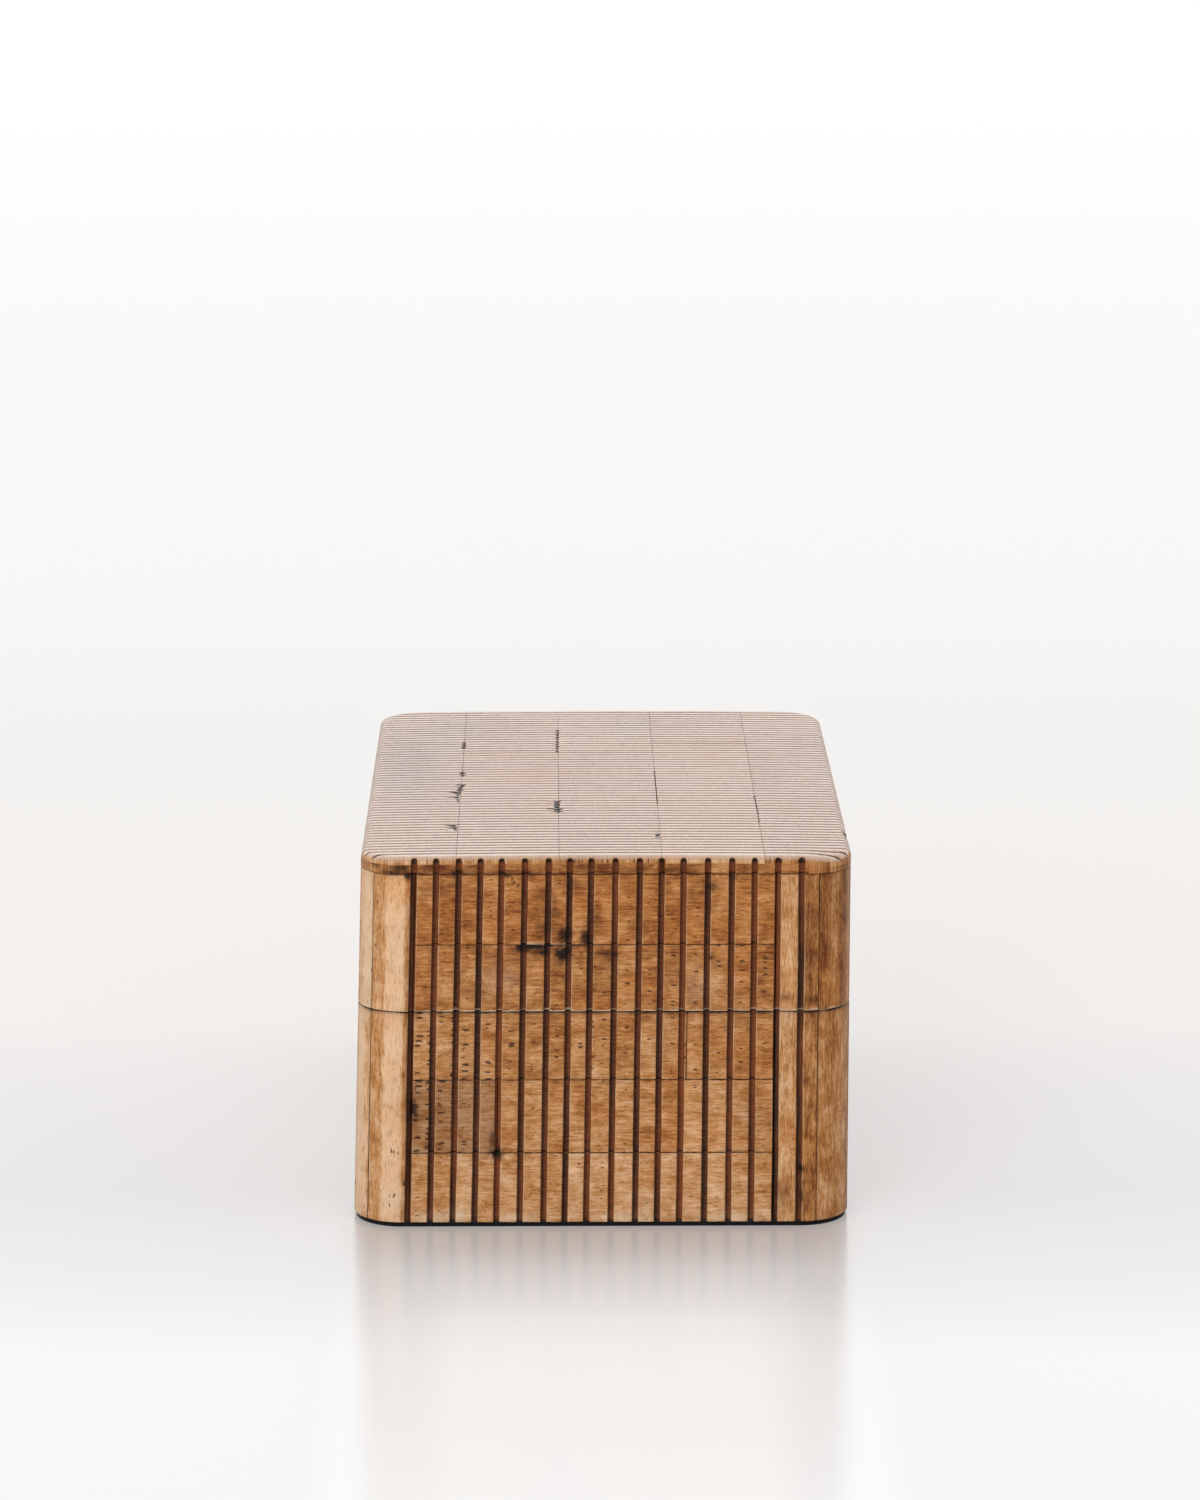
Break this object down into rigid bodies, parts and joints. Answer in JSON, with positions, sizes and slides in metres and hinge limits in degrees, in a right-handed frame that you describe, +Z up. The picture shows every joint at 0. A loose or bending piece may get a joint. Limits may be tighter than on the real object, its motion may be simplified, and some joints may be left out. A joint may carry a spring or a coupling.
{
  "type": "keepsake box",
  "caption": "Rectangular keepsake box with rounded corners, clad in reeded stained bone over wood; the rigid lid lifts off an inner lip.",
  "frame": {"origin": "middle of the underside, where the felt meets the table", "axes": "+Z up; the long way along Y, with the pictured end facing -Y; +X to the right as seen from that end"},
  "size_m": [0.1284, 0.1794, 0.0982],
  "materials": {
    "bone": "gloss",
    "top_bone": "gloss",
    "wood": "satin",
    "felt": "matte",
    "lining": "matte"
  },
  "bodies": {
    "base": {"base_back_board": "wood", "base_back_tiles": "bone", "base_bottom_board": "wood", "base_corner_strips": "bone", "base_felt": "felt", "base_floor_lining": "lining", "base_front_board": "wood", "base_front_tiles": "bone", "base_left_board": "wood", "base_left_tiles": "bone", "base_lip_back": "wood", "base_lip_front": "wood", "base_lip_left": "wood", "base_lip_right": "wood", "base_right_board": "wood", "base_right_tiles": "bone"},
    "lid": {"lid_back_board": "wood", "lid_back_tiles": "bone", "lid_corner_strips": "bone", "lid_front_board": "wood", "lid_front_tiles": "bone", "lid_left_board": "wood", "lid_left_tiles": "bone", "lid_lining": "lining", "lid_right_board": "wood", "lid_right_tiles": "bone", "lid_top_board": "wood", "lid_top_slabs": "top_bone"}
  },
  "joints": [
    {"name": "lid_lift", "type": "slide", "parent": "base", "child": "lid", "axis": [0, 0, 1], "range_m": [0, 0.12]}
  ]
}
